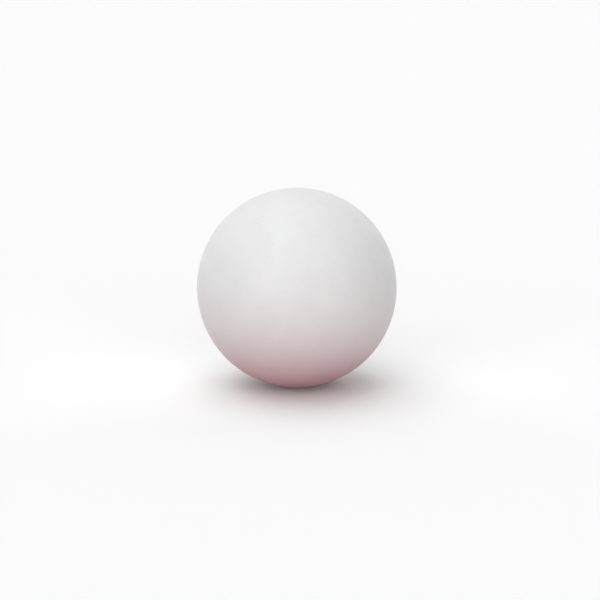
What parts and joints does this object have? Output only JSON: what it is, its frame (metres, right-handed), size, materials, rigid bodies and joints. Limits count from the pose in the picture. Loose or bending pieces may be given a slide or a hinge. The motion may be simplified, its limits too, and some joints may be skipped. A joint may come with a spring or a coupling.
{
  "type": "stress ball",
  "caption": "Plain round squeeze ball of soft foam in a smooth matte skin, which flattens under the hand and springs back.",
  "frame": {"origin": "the ball's centre", "axes": "+Z is the axis of the pour hole, which is at the bottom, and is square to the parting line; the ball is the same all round it"},
  "size_m": [0.07, 0.07, 0.07],
  "materials": {
    "skin": "matte",
    "foam": "matte",
    "patch": "matte"
  },
  "bodies": {
    "lower_half": {"foam_core": "foam", "skin_lower": "skin", "pour_hole_patch": "patch"},
    "upper_half": {"skin_upper": "skin"}
  },
  "joints": [
    {"name": "squeeze", "type": "slide", "parent": "lower_half", "child": "upper_half", "axis": [0, 0, -1], "range_m": [0, 0.028], "stiffness_N_per_m": 1500, "deforming": ["foam_core", "skin_lower", "skin_upper"]}
  ]
}
